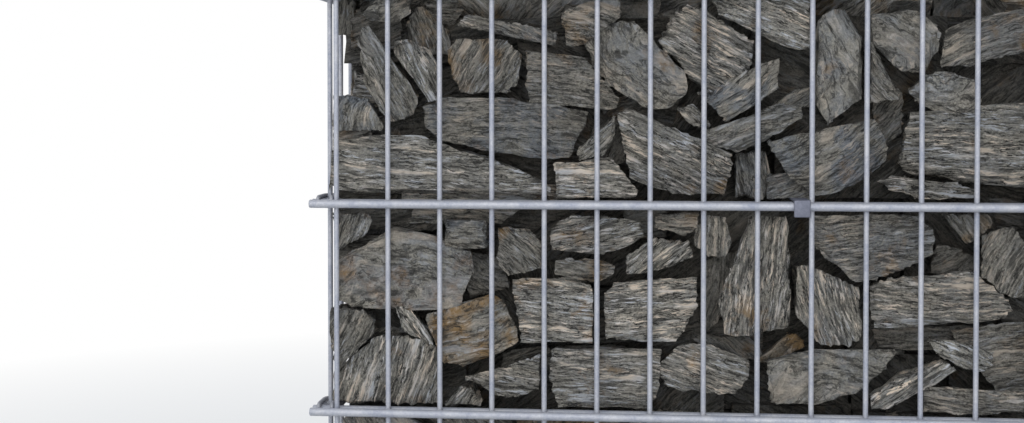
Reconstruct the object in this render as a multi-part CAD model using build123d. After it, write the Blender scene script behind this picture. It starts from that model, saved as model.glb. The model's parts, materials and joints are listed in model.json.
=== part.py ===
"""Gabion wall: a welded wire cage in two bays, filled with broken stone.

Each long side and each end is a mat of upright wires held between twin level
rods. Flat strips tie the two long sides together, and hairpin clips tie the end
mats to them. The stone stands in lifts, one between each pair of rod levels.
Millimetres, X along the wall, Y through it, Z up, origin under its middle.
"""
from build123d import *
import os

# Layout of the cage
bay_count = 2
wires_per_bay = 20
wires_per_end = 5
rod_levels = 5

# Welded mats
wire_pitch = 50.0
rod_pitch = 200.0
wire_size = 5.0
rod_size = 8.0
rod_overhang = 25.0
wire_overhang = 15.0
end_wire_inset = 25.0

# Flat strips across the wall
strip_thickness = 2.5
strip_width = 15.0
seam_strip_width = 30.0
strip_hook_drop = 13.5
strip_place_in_bay = 465.0
strip_levels = (2, 4)

# Hairpin clips at the corners
clip_fit = 0.5
clip_tip_drop = 9.0
clip_corner_cut = 4.0

# Fit of the stone round the strips
stone_clearance = 0.3

# Sizes that follow from the ones above
rod_offset = (wire_size + rod_size) / 2
bay_length = (wires_per_bay - 1) * wire_pitch + 2 * rod_overhang
wall_length = bay_count * bay_length
wall_end = wall_length / 2
cage_depth = (wires_per_end - 1) * wire_pitch + 2 * end_wire_inset
wire_plane = cage_depth / 2
stone_face = wire_plane - wire_size / 2
rod_inner_face = stone_face - rod_size
rod_outer_face = wire_plane + wire_size / 2 + rod_size
rod_heights = [wire_overhang + level * rod_pitch for level in range(rod_levels)]
mat_height = rod_heights[-1] + wire_overhang
clip_size = wire_size - 2 * clip_fit
first_wire = wall_end - rod_overhang
end_plane = first_wire + wire_size / 2 + clip_fit + clip_size / 2 + rod_offset
stone_end = end_plane - rod_offset - rod_size / 2


def block(low, high):
    """A square-edged solid between two opposite corners."""
    sizes = [top - bottom for bottom, top in zip(low, high)]
    middle = [(top + bottom) / 2 for bottom, top in zip(low, high)]
    return Pos(*middle) * Box(*sizes)


def prism(points, plane, length):
    """A flat outline drawn on a plane and given an even thickness."""
    return extrude(plane * make_face(Polyline(*points, close=True)), amount=length)


def centred_row(count, pitch):
    """Places of evenly spaced bars about zero."""
    return [(place - (count - 1) / 2) * pitch for place in range(count)]


def rod_top(level):
    """Height of the top of the rods at a level, counted from one."""
    return rod_heights[level - 1] + rod_size / 2


def double_rod_mat(wire_count, rod_length):
    """Upright wires with a rod welded across them on both faces at each level."""
    wires = [
        Pos(x, 0, mat_height / 2) * Box(wire_size, wire_size, mat_height)
        for x in centred_row(wire_count, wire_pitch)
    ]
    rods = [
        Pos(0, side * rod_offset, height) * Box(rod_length, rod_size, rod_size)
        for height in rod_heights
        for side in (-1, 1)
    ]
    return wires[0].fuse(*wires[1:], *rods)


def end_mat():
    """A mat turned across the wall, its rods butting on the inner side rods."""
    return Rot(0, 0, 90) * double_rod_mat(wires_per_end, 2 * rod_inner_face)


def strip_spacer(width, x, level):
    """A flat strip lying on the rods, with both ends turned down outside them."""
    seat = rod_top(level)
    top = seat + strip_thickness
    hook_tip = seat - strip_hook_drop
    outside = rod_outer_face + strip_thickness
    bend = strip_thickness / 2
    half = [
        (rod_outer_face, seat),
        (rod_outer_face, hook_tip),
        (outside, hook_tip),
        (outside, top - bend),
        (outside - bend, top),
    ]
    other_half = [(-y, z) for y, z in reversed(half)]
    return prism(half + other_half, Plane.YZ.offset(x - width / 2), width)


def hairpin_clip(level):
    """A clip for the corner at the low end of X and Y.

    Its tips hang between the twin rods of the side mat, its legs lie over the
    rods of both mats, and its bend goes round the first wire of the end mat.
    """
    seat = rod_top(level)
    front = -wire_plane - clip_size / 2
    wire_back = -wire_plane + end_wire_inset + wire_size / 2
    bend_inside = wire_back + clip_fit
    bend_outside = bend_inside + clip_size
    outer = rod_offset + clip_size / 2
    inner = rod_offset - clip_size / 2
    inner_cut = clip_corner_cut / 2
    half = [
        (inner, front),
        (outer, front),
        (outer, bend_outside - clip_corner_cut),
        (outer - clip_corner_cut, bend_outside),
    ]
    inner_half = [(inner - inner_cut, bend_inside), (inner, bend_inside - inner_cut)]
    right = half[:]
    left = [(-x, y) for x, y in reversed(half)]
    inside_left = [(-x, y) for x, y in reversed(inner_half)]
    outline = right + left + inside_left + inner_half
    bend = prism(outline, Plane.XY.offset(seat), clip_size)
    tips = [
        block(
            (x - clip_size / 2, front, rod_heights[level - 1] - clip_tip_drop),
            (x + clip_size / 2, front + clip_size, seat),
        )
        for x in (-rod_offset, rod_offset)
    ]
    return Pos(-end_plane, 0, 0) * bend.fuse(*tips)


def stone_lift(bay, level):
    """The stone between two rod levels of one bay, shaped by the cage round it."""
    left = -wall_end + (bay - 1) * bay_length
    right = left + bay_length
    low_x = max(left, -stone_end)
    high_x = min(right, stone_end)
    bottom = 0 if level == 1 else rod_top(level)
    top = rod_top(level + 1)
    lift = block((low_x, -stone_face, bottom), (high_x, stone_face, top))
    rebates = [(top - rod_size, top)]
    if level == 1:
        rebates.append((bottom, rod_top(1)))
    for low_z, high_z in rebates:
        lift -= block((low_x, rod_inner_face, low_z), (high_x, stone_face, high_z))
        lift -= block((low_x, -stone_face, low_z), (high_x, -rod_inner_face, high_z))
    for width, x, strip_level in strips:
        reach = width / 2 + stone_clearance
        if strip_level == level and x + reach > low_x and x - reach < high_x:
            seat = rod_top(level)
            groove_top = seat + strip_thickness + stone_clearance
            lift -= block((x - reach, -stone_face, seat), (x + reach, stone_face, groove_top))
    return lift


bays = range(1, bay_count + 1)
levels = range(1, rod_levels + 1)
bay_starts = {bay: -wall_end + (bay - 1) * bay_length for bay in bays}
seams = {seam: bay_starts[seam] + bay_length for seam in bays[:-1]}
bay_strips = {
    (bay, level): (strip_width, bay_starts[bay] + strip_place_in_bay, level)
    for bay in bays
    for level in strip_levels
}
seam_strips = {
    (seam, level): (seam_strip_width, seams[seam], level)
    for seam in seams
    for level in levels
}
strips = list(bay_strips.values()) + list(seam_strips.values())

parts = {}

# Mats of the two long sides and the two ends
side_mat = double_rod_mat(wires_per_bay, bay_length)
for bay in bays:
    middle = bay_starts[bay] + bay_length / 2
    parts[f"front_mat_bay_{bay}"] = Pos(middle, -wire_plane, 0) * side_mat
    parts[f"rear_mat_bay_{bay}"] = Pos(middle, wire_plane, 0) * side_mat
parts["end_mat_left"] = Pos(-end_plane, 0, 0) * end_mat()
parts["end_mat_right"] = Pos(end_plane, 0, 0) * end_mat()

# Flat strips in the bays and over the seams between them
for (bay, level), (width, x, _) in bay_strips.items():
    parts[f"strip_spacer_bay_{bay}_level_{level}"] = strip_spacer(width, x, level)
for (seam, level), (width, x, _) in seam_strips.items():
    parts[f"seam_strip_{seam}_level_{level}"] = strip_spacer(width, x, level)

# Hairpin clips, one at each level of each corner
front_left_clips = Compound([hairpin_clip(level) for level in levels])
rear_left_clips = mirror(front_left_clips, about=Plane.XZ)
parts["corner_clips_front_left"] = front_left_clips
parts["corner_clips_rear_left"] = rear_left_clips
parts["corner_clips_front_right"] = mirror(front_left_clips, about=Plane.YZ)
parts["corner_clips_rear_right"] = mirror(rear_left_clips, about=Plane.YZ)

# Stone, one lift between each pair of rod levels
for bay in bays:
    for level in levels[:-1]:
        parts[f"stone_lift_bay_{bay}_level_{level}"] = stone_lift(bay, level)

os.makedirs("parts", exist_ok=True)
for name, shape in parts.items():
    export_step(shape, f"parts/{name}.step")
print(len(parts), "parts", "length", wall_length, "depth", cage_depth, "height", mat_height)
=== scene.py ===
# %% [markdown]
# A gabion wall is a cage of welded steel mesh that is filled with broken stone. The CAD
# model holds the cage at its real size, with plain blocks for the stone. This file gives
# it round galvanised bars, welds, bent clips and about a thousand split stones. It starts
# by loading the CAD model, because every place below is worked out from its boxes.

# %% Load the CAD model
import json
import math
import random

import bpy
from mathutils import Matrix, Vector

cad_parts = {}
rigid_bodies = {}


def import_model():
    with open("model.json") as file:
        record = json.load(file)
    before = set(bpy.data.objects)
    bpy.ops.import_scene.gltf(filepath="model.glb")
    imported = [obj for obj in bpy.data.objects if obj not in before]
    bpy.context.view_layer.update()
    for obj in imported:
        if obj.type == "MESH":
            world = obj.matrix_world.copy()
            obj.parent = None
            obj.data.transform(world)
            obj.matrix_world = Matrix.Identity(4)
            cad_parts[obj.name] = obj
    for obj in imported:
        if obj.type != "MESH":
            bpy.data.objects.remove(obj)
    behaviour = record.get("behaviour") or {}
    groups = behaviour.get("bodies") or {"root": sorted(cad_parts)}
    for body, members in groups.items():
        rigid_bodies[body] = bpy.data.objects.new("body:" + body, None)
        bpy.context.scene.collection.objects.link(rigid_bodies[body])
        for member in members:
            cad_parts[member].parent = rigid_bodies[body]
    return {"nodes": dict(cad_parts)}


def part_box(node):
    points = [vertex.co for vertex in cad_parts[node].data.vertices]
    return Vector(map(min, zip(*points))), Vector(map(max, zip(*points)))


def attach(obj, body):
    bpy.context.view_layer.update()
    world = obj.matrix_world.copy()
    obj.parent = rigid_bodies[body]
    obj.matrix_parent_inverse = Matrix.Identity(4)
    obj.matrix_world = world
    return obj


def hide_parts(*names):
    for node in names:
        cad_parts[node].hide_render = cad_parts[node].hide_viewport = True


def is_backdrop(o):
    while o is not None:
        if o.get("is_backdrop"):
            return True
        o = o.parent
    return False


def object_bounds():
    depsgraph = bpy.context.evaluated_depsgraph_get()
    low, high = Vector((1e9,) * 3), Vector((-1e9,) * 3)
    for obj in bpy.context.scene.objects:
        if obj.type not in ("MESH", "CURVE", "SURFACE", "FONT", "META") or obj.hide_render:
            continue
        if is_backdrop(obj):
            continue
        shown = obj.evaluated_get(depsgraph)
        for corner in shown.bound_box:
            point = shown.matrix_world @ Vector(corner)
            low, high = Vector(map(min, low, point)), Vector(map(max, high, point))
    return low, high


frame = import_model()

cad_low, cad_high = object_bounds()
bays = sum(node.startswith("front_mat_bay_") for node in frame["nodes"])
lifts = sum(node.startswith("stone_lift_bay_1_") for node in frame["nodes"])
print(bays, "bays of", lifts, "lifts")
print("CAD box", [round(v, 4) for v in cad_low], [round(v, 4) for v in cad_high])

# %% [markdown]
# The mesh has two real sizes that set all the rest: its upright wires stand 50 mm apart
# and its twin rods lie 200 mm apart. The wires are 5 mm thick and the rods 8 mm. The
# places of the mats come from their CAD nodes.

# %% Sizes of the mesh
wire_thickness = 0.005
rod_thickness = 0.008
wire_pitch = 0.050
rod_pitch = 0.200
rod_reach = 0.025
wire_reach = 0.015
rod_offset = (wire_thickness + rod_thickness) / 2

mat_low, mat_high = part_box("front_mat_bay_1")
bay_length = mat_high.x - mat_low.x
mat_height = mat_high.z
front_plane = (mat_low.y + mat_high.y) / 2
end_low, end_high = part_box("end_mat_left")
end_plane = (end_low.x + end_high.x) / 2
end_rod_length = end_high.y - end_low.y
rod_heights = [wire_reach + level * rod_pitch for level in range(lifts + 1)]
wires_per_bay = round((bay_length - 2 * rod_reach) / wire_pitch) + 1
wires_per_end = round(end_rod_length / wire_pitch)
print(wires_per_bay, "wires a bay,", wires_per_end, "wires an end, rods at", rod_heights)

# %% [markdown]
# The camera stands where the picture was taken from, about 1.4 m in front of the first
# bay and a hand's width above a rod. Its place was found from the spacing of the mesh: the
# wires close up towards the right, which gives the turn, and the rods slope apart, which
# gives the height. The frame is cut low, so a small shift lowers the view.

# %% Camera
frame_width = 1024
frame_height = 423
focal_pixels = 1450.0
axis_column = 512.5
axis_row = 136.5
along_wall = 0.3221
before_wall = 1.3694
upper_rod_in_view = 3
above_rod = 0.0949
camera_place = Vector((
    mat_low.x + along_wall,
    front_plane - before_wall,
    rod_heights[upper_rod_in_view] + above_rod,
))
camera_turn = math.radians(5.31)
camera_dip = math.radians(1.26)

camera_data = bpy.data.cameras.new("camera")
camera_data.lens = focal_pixels / frame_width * camera_data.sensor_width
camera_data.shift_x = -(axis_column - frame_width / 2) / frame_width
camera_data.shift_y = -(frame_height / 2 - axis_row) / frame_width
camera = bpy.data.objects.new("camera", camera_data)
camera.location = camera_place
camera.rotation_euler = (math.radians(90) - camera_dip, 0, camera_turn)
bpy.context.scene.collection.objects.link(camera)
bpy.context.scene.camera = camera
print("lens", round(camera_data.lens, 2), "shift", round(camera_data.shift_y, 4))

# %% [markdown]
# Operators act on what is selected and on the active object, and loading leaves the CAD
# nodes selected. So each step first takes one object in hand. Modifiers are put on,
# given their settings and applied, as a modeller would do by hand. The many stones have
# theirs applied all together, because one after the other doubles the time.

# %% Taking objects in hand
scene_objects = bpy.context.scene.collection.objects


def take(piece):
    """Make one object the only selected and active one."""
    bpy.ops.object.select_all(action="DESELECT")
    piece.select_set(True)
    bpy.context.view_layer.objects.active = piece
    return piece


def shape_with(piece, kind, **settings):
    """Put a modifier on the active object, set it and apply it."""
    modifier = piece.modifiers.new(kind.lower(), kind)
    for name, value in settings.items():
        setattr(modifier, name, value)
    bpy.ops.object.modifier_apply(modifier=modifier.name)


def shape_at_once(piece, steps):
    """Put several modifiers on the active object and apply them together."""
    for kind, settings in steps:
        modifier = piece.modifiers.new(kind.lower(), kind)
        for name, value in settings.items():
            setattr(modifier, name, value)
    plain = piece.data
    shaped = piece.evaluated_get(bpy.context.evaluated_depsgraph_get())
    piece.data = bpy.data.meshes.new_from_object(shaped)
    piece.modifiers.clear()
    bpy.data.meshes.remove(plain)


def repeat_along(piece, count, step):
    """Copy the active object in a row and keep the row as one mesh."""
    shape_with(piece, "ARRAY", count=count, use_relative_offset=False,
               use_constant_offset=True, constant_offset_displace=step)


def place_in_mesh(piece):
    """Move an object's place into its mesh, so that it sits at the origin."""
    take(piece)
    bpy.ops.object.transform_apply(location=True, rotation=True, scale=True)


def join(pieces, name):
    """Join objects into one mesh under a new name."""
    bpy.ops.object.select_all(action="DESELECT")
    for piece in pieces:
        piece.select_set(True)
    bpy.context.view_layer.objects.active = pieces[0]
    bpy.ops.object.join()
    whole = bpy.context.view_layer.objects.active
    whole.name = name
    whole.data.name = name
    return whole


def copy_of(piece, name, matrix):
    """A copy with a mesh of its own, moved by a matrix."""
    twin = piece.copy()
    twin.data = piece.data.copy()
    twin.name = name
    twin.data.name = name
    twin.data.transform(matrix)
    scene_objects.link(twin)
    return twin


def triangles(piece):
    """How many triangles a mesh has."""
    return sum(len(face.vertices) - 2 for face in piece.data.polygons)


print(len(scene_objects), "objects in the scene before any piece is made")

# %% [markdown]
# A mat is welded from straight bars that are cut to length, with a small eased edge at
# each end. It could be drawn as one net of curves, but bars that lie across each other,
# as they are welded, keep every section round. So one wire and one rod are made as
# cylinders, and rows of them are set out at the real spacing. Twelve sides for a wire and
# sixteen for a rod look round at this distance.

# %% One side mat and one end mat
wire_sides = 12
rod_sides = 16
end_edge = 0.0007
sharp_edge = math.radians(40)


def eased_bar(name, thickness, sides, length, place, turned):
    """A round bar with eased ends, upright or turned level along X."""
    turn = (0, math.pi / 2, 0) if turned else (0, 0, 0)
    bpy.ops.mesh.primitive_cylinder_add(vertices=sides, radius=thickness / 2, depth=length,
                                        location=place, rotation=turn)
    bar = bpy.context.object
    bar.name = name
    place_in_mesh(bar)
    bpy.ops.object.mode_set(mode="EDIT")
    bpy.ops.mesh.select_mode(type="FACE")
    bpy.ops.mesh.select_all(action="DESELECT")
    bpy.ops.object.mode_set(mode="OBJECT")
    # Only the two flat ends have more than four corners.
    for face in bar.data.polygons:
        face.select = len(face.vertices) > 4
    bpy.ops.object.mode_set(mode="EDIT")
    bpy.ops.mesh.bevel(offset=end_edge, segments=1, affect="EDGES")
    bpy.ops.object.mode_set(mode="OBJECT")
    return bar


def welds(first_wire, wires):
    """The nugget of squeezed metal where each rod is pressed into a wire."""
    nugget_radius = 0.0036
    nugget_squeeze = (1.0, 0.55, 1.15)
    nugget_place = (first_wire, -wire_thickness / 2, rod_heights[0])
    bpy.ops.mesh.primitive_uv_sphere_add(segments=8, ring_count=6, radius=nugget_radius,
                                         location=nugget_place, scale=nugget_squeeze)
    nugget = bpy.context.object
    place_in_mesh(nugget)
    repeat_along(nugget, 2, (0, wire_thickness, 0))
    repeat_along(nugget, lifts + 1, (0, 0, rod_pitch))
    repeat_along(nugget, wires, (wire_pitch, 0, 0))
    return nugget


def double_rod_mat(name, wires, rod_length):
    """A mat about the origin: wires in one plane, rods on both faces of them."""
    first_wire = -(wires - 1) / 2 * wire_pitch
    wire = eased_bar("wire", wire_thickness, wire_sides, mat_height,
                     (first_wire, 0, mat_height / 2), False)
    repeat_along(wire, wires, (wire_pitch, 0, 0))
    rod = eased_bar("rod", rod_thickness, rod_sides, rod_length,
                    (0, -rod_offset, rod_heights[0]), True)
    repeat_along(rod, 2, (0, 2 * rod_offset, 0))
    repeat_along(rod, lifts + 1, (0, 0, rod_pitch))
    mat = join([wire, rod, welds(first_wire, wires)], name)
    take(mat)
    bpy.ops.object.shade_smooth_by_angle(angle=sharp_edge)
    return mat


side_mat = double_rod_mat("side_mat", wires_per_bay, bay_length)
end_mat = double_rod_mat("end_mat", wires_per_end, end_rod_length)
print("side mat", triangles(side_mat), "end mat", triangles(end_mat), "triangles")

# %% [markdown]
# Each mat of the cage is a copy of one of the two, with its own mesh, standing exactly
# where its CAD node stands. The copies replace the square-barred CAD mats in the view,
# which stay in the frame for its collision shapes.

# %% Set the mats in place
mesh_pieces = []
for node in sorted(frame["nodes"]):
    if "_mat_" not in node:
        continue
    low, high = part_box(node)
    place = Matrix.Translation(((low.x + high.x) / 2, (low.y + high.y) / 2, 0))
    if node.startswith("end"):
        mat = copy_of(end_mat, node + "_welded", place @ Matrix.Rotation(math.pi / 2, 4, "Z"))
    else:
        mat = copy_of(side_mat, node + "_welded", place)
    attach(mat, "root")
    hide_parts(node)
    mesh_pieces.append(mat)
for master in (side_mat, end_mat):
    bpy.data.objects.remove(master)
print(len(mesh_pieces), "mats set in place")

# %% [markdown]
# The strips that tie the two long sides together are 15 mm flat steel, folded down at
# both ends over the outer rods. A cut block could give that shape too, but folding a
# sheet as the maker does keeps one thickness all along. A strip starts as a flat plane on
# the rods, its two end edges are extruded down, and Solidify and Bevel give it the
# thickness and the soft folds of bent sheet. The seam strips are the same, twice as wide.

# %% Flat strips
strip_thickness = 0.0025
fold_radius = 0.0011
same_place = 1e-5


def folded_strip(name, node):
    """A strip over the rods in the box of its CAD node."""
    low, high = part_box(node)
    half_sheet = strip_thickness / 2
    middle_x = (low.x + high.x) / 2
    width = high.x - low.x
    flat_length = high.y - low.y - strip_thickness
    bpy.ops.mesh.primitive_plane_add(size=1, location=(middle_x, 0, high.z - half_sheet))
    strip = bpy.context.object
    strip.name = name
    strip.scale = (width, flat_length, 1)
    place_in_mesh(strip)
    bpy.ops.object.mode_set(mode="EDIT")
    bpy.ops.mesh.select_mode(type="EDGE")
    for side in (-1, 1):
        bpy.ops.mesh.select_all(action="DESELECT")
        bpy.ops.object.mode_set(mode="OBJECT")
        for edge in strip.data.edges:
            ends = [strip.data.vertices[v].co for v in edge.vertices]
            edge.select = all(
                abs(end.y - side * flat_length / 2) < same_place and end.z > high.z - strip_thickness
                for end in ends
            )
        bpy.ops.object.mode_set(mode="EDIT")
        drop = (0, 0, low.z - high.z + half_sheet)
        bpy.ops.mesh.extrude_region_move(TRANSFORM_OT_translate={"value": drop})
    bpy.ops.mesh.select_all(action="SELECT")
    bpy.ops.mesh.normals_make_consistent(inside=False)
    bpy.ops.object.mode_set(mode="OBJECT")
    shape_with(strip, "SOLIDIFY", thickness=strip_thickness, offset=0, use_even_offset=True)
    shape_with(strip, "BEVEL", width=fold_radius, segments=3, limit_method="ANGLE")
    bpy.ops.object.shade_smooth_by_angle(angle=sharp_edge)
    return strip


strip_pieces = []
for node in sorted(frame["nodes"]):
    if "strip" in node:
        strip = folded_strip(node + "_folded", node)
        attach(strip, "root")
        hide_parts(node)
        strip_pieces.append(strip)
print(len(strip_pieces), "strips,", triangles(strip_pieces[0]), "triangles each")

# %% [markdown]
# At each corner and rod level a hairpin of 4 mm wire holds the end mat. It could be
# extruded round its bends, but bent wire is most simply a curve with a round section:
# two tips hang between the twin rods, the legs lie over the rods, and the bend goes
# round the first wire of the end mat. The tips end just above the rods' lower edge.

# %% Hairpin clips
clip_wire = 0.004
clip_bend = 0.0065
clip_tip_drop = 0.003
clip_fold = 0.003
clip_fold_middle = 0.3 * clip_fold
clip_arc_steps = 8
clip_sharp_edge = math.radians(50)


def hairpin_path(height):
    """Points of one hairpin about the front left corner, from tip to tip."""
    seat = height + rod_thickness / 2 + clip_wire / 2
    wire_of_end = front_plane + wire_pitch / 2
    leg = [
        Vector((0, front_plane, height - clip_tip_drop)),
        Vector((0, front_plane, seat - clip_fold)),
        Vector((0, front_plane + clip_fold_middle, seat - clip_fold_middle)),
        Vector((0, front_plane + clip_fold, seat)),
    ]
    left = [point + Vector((-clip_bend, 0, 0)) for point in leg]
    right = [point + Vector((clip_bend, 0, 0)) for point in leg]
    turn = [math.pi - step * math.pi / clip_arc_steps for step in range(clip_arc_steps + 1)]
    bend = [
        Vector((clip_bend * math.cos(angle), wire_of_end + clip_bend * math.sin(angle), seat))
        for angle in turn
    ]
    return left + bend + right[::-1]


def wire_along(points, name):
    """A round wire that follows a path, as a closed mesh."""
    line = bpy.data.curves.new(name, "CURVE")
    line.dimensions = "3D"
    line.bevel_depth = clip_wire / 2
    line.bevel_resolution = 2
    line.use_fill_caps = True
    spline = line.splines.new("POLY")
    spline.points.add(len(points) - 1)
    for point, place in zip(spline.points, points):
        point.co = (*place, 1)
    wire = bpy.data.objects.new(name, line)
    scene_objects.link(wire)
    take(wire)
    bpy.ops.object.convert(target="MESH")
    bpy.ops.object.mode_set(mode="EDIT")
    bpy.ops.mesh.select_all(action="SELECT")
    bpy.ops.mesh.remove_doubles(threshold=same_place)
    bpy.ops.mesh.normals_make_consistent(inside=False)
    bpy.ops.object.mode_set(mode="OBJECT")
    bpy.ops.object.shade_smooth_by_angle(angle=clip_sharp_edge)
    return bpy.context.object


hairpins = [wire_along(hairpin_path(height), "hairpin") for height in rod_heights]
corner_clips = join(hairpins, "hairpins")
clip_pieces = []
for end, place_x in (("left", end_plane), ("right", -end_plane)):
    for side, mirror in (("front", 1), ("rear", -1)):
        corner = f"{side}_{end}"
        place = Matrix.Translation((place_x, 0, 0)) @ Matrix.Diagonal((1, mirror, 1, 1))
        clips = copy_of(corner_clips, f"hairpins_{corner}", place)
        if mirror < 0:
            clips.data.flip_normals()
        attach(clips, "root")
        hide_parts(f"corner_clips_{corner}")
        clip_pieces.append(clips)
bpy.data.objects.remove(corner_clips)
print(len(clip_pieces), "sets of hairpins,", triangles(clip_pieces[0]), "triangles each")

# %% [markdown]
# The stone is schist, which splits along thin layers and breaks across them. A real
# piece is a lump with a few flat breaks. It could be sculpted, but about a thousand are
# needed, so each one starts as a cube that is cut by planes: one along each edge of its
# outline, some along the rim of its face, and three that tilt the face itself.

# %% Breaking a rough block
chance = random.Random(41)
shortest_edge = 0.002
edge_slopes = (2, 14)
rim_odds = 0.6
rim_depths = (0.06, 0.22)
rim_leans = (30, 68)
widest_for_rim = 0.08
face_tilts = 3
tilt_angles = (5, 21)
tilt_places = (0.12, 0.3)
face_skin = 0.001


def cut_off(place, level, normal):
    """Cut the mesh at a place of the face and a level behind it, and drop what lies beyond."""
    bpy.ops.mesh.select_all(action="SELECT")
    bpy.ops.mesh.bisect(plane_co=(place.x, place.y, level), plane_no=normal, use_fill=True,
                        clear_outer=True)


def leaning(direction, angle):
    """A direction along the face, raised out of the face by an angle."""
    return (direction.x * math.cos(angle), direction.y * math.cos(angle), math.sin(angle))


def outward_edges(outline):
    """Middle and outward direction of each edge of an anticlockwise outline."""
    edges = []
    for start, stop in zip(outline, outline[1:] + outline[:1]):
        along = Vector(stop) - Vector(start)
        if along.length > shortest_edge:
            edges.append((Vector(start) + along / 2, Vector((along.y, -along.x)).normalized()))
    return edges


def rough_block(outline, thickness, margin):
    """A broken block: its outline in U and V, its face at W zero and its back behind."""
    low = Vector([min(side) for side in zip(*outline)])
    high = Vector([max(side) for side in zip(*outline)])
    size = high - low
    middle = (low + high) / 2
    bpy.ops.mesh.primitive_cube_add(size=1, location=(middle.x, middle.y, -thickness / 2))
    block = bpy.context.object
    block.scale = (size.x, size.y, thickness)
    place_in_mesh(block)
    bpy.ops.object.mode_set(mode="EDIT")
    bpy.ops.mesh.select_mode(type="FACE")
    for point, outward in outward_edges(outline):
        edge = point + outward * margin
        cut_off(edge, 0, leaning(outward, -math.radians(chance.uniform(*edge_slopes))))
        if chance.random() < rim_odds:
            depth = chance.uniform(*rim_depths) * min(size.x, size.y, widest_for_rim)
            cut_off(edge, -depth, leaning(outward, math.radians(chance.uniform(*rim_leans))))
    for _ in range(face_tilts):
        turn = chance.uniform(0, math.tau)
        tilt = math.radians(chance.uniform(*tilt_angles))
        direction = Vector((math.cos(turn), math.sin(turn)))
        place = middle + direction * chance.uniform(*tilt_places) * min(size)
        cut_off(place, -face_skin, leaning(direction, math.pi / 2 - tilt))
    bpy.ops.object.mode_set(mode="OBJECT")
    return block


square = [(0, 0), (1, 0), (1, 1), (0, 1)]
print(len(outward_edges(square)), "edges and", face_tilts, "tilts cut a square block")

# %% [markdown]
# A remesh gives the block even faces, and two displacements roughen it. One pattern is
# stretched along the layers, which makes ledges 7 mm apart, and the other makes lumps of
# 22 mm. Each reads an empty at the stone, and the empty of the ledges is turned to its
# layers. The stone then keeps two attributes for its material: its places along, across
# and through the layers, and its tone.

# %% Roughening a stone along its layers
ledge_size = (0.09, 0.09, 0.007)
lump_size = (0.022, 0.022, 0.022)
ledge_relief = 0.0064
lump_relief = 0.0051
relief_middle = 0.6
remesh_scale = 0.92
furthest_shift = 5
attribute_shift = 0.37

ledges = bpy.data.textures.new("ledges", "CLOUDS")
ledges.noise_scale = 1.0
ledges.noise_depth = 2
ledges.noise_type = "HARD_NOISE"
lumps = bpy.data.textures.new("lumps", "CLOUDS")
lumps.noise_scale = 1.0
lumps.noise_depth = 3
grain_frame = bpy.data.objects.new("grain_frame", None)
lump_frame = bpy.data.objects.new("lump_frame", None)
scene_objects.link(grain_frame)
scene_objects.link(lump_frame)


def set_grain(block, grain, dip):
    """Put both pattern frames at a stone, turn the ledges to its layers, and say how."""
    across = Matrix.Rotation(math.radians(grain), 3, "Z")
    turn = across @ Matrix.Rotation(math.radians(90 + dip), 3, "X")
    shift = Vector([chance.uniform(-furthest_shift, furthest_shift) for _ in range(3)])
    middle = sum((vertex.co for vertex in block.data.vertices), Vector()) / len(block.data.vertices)
    place = Matrix.Translation(middle + shift)
    grain_frame.matrix_world = place @ turn.to_4x4() @ Matrix.Diagonal((*ledge_size, 1))
    lump_frame.matrix_world = place @ Matrix.Diagonal((*lump_size, 1))
    return turn.inverted(), middle, shift


def split_stone(outline, thickness, grain, dip, tone, fineness):
    """One finished stone in U, V and W, with its grain and tone written into it."""
    block = rough_block(outline, thickness, fineness["margin"])
    to_grain, middle, shift = set_grain(block, grain, dip * chance.choice((-1, 1)))
    steps = [("REMESH", {"mode": "SHARP", "octree_depth": fineness["depth"], "scale": remesh_scale})]
    for texture, frame_of_texture, relief in (
        (ledges, grain_frame, ledge_relief),
        (lumps, lump_frame, lump_relief),
    ):
        steps.append(("DISPLACE", {"texture": texture, "texture_coords": "OBJECT",
                                   "texture_coords_object": frame_of_texture,
                                   "strength": relief, "mid_level": relief_middle}))
    shape_at_once(block, steps)
    count = triangles(block)
    if count > fineness["target"]:
        shape_at_once(block, [("DECIMATE", {"ratio": fineness["target"] / count})])
    corners = block.data.vertices
    offset = shift * attribute_shift
    places = [value for corner in corners for value in to_grain @ (corner.co - middle) + offset]
    grain_place = block.data.attributes.new("grain_place", "FLOAT_VECTOR", "POINT")
    grain_place.data.foreach_set("vector", places)
    stone_tone = block.data.attributes.new("stone_tone", "FLOAT_COLOR", "POINT")
    stone_tone.data.foreach_set("color", list(tone) * len(corners))
    return block


print("ledges", 1000 * ledge_size[2], "mm apart, lumps", 1000 * lump_size[0], "mm wide")

# %% [markdown]
# The stones that the photograph shows are laid one by one. Each one has its outline in the
# picture, the slope of its streaks in degrees and its kind of rock. A sight line through
# a picture point meets the inner face of the front mesh, and that gives the real place
# and size of the stone, standing a few millimetres behind the wires.

# %% Stones in the photograph
stone_front = front_plane + wire_thickness / 2
camera_matrix = camera.rotation_euler.to_matrix()


def on_face(picture_point, sink):
    """Where a sight line meets a plane that lies a little behind the front mesh."""
    right = (picture_point[0] - axis_column) / focal_pixels
    up = (axis_row - picture_point[1]) / focal_pixels
    sight = camera_matrix @ Vector((right, up, -1))
    reach = (stone_front + sink - camera_place.y) / sight.y
    place = camera_place + sight * reach
    return place.x, place.z


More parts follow.
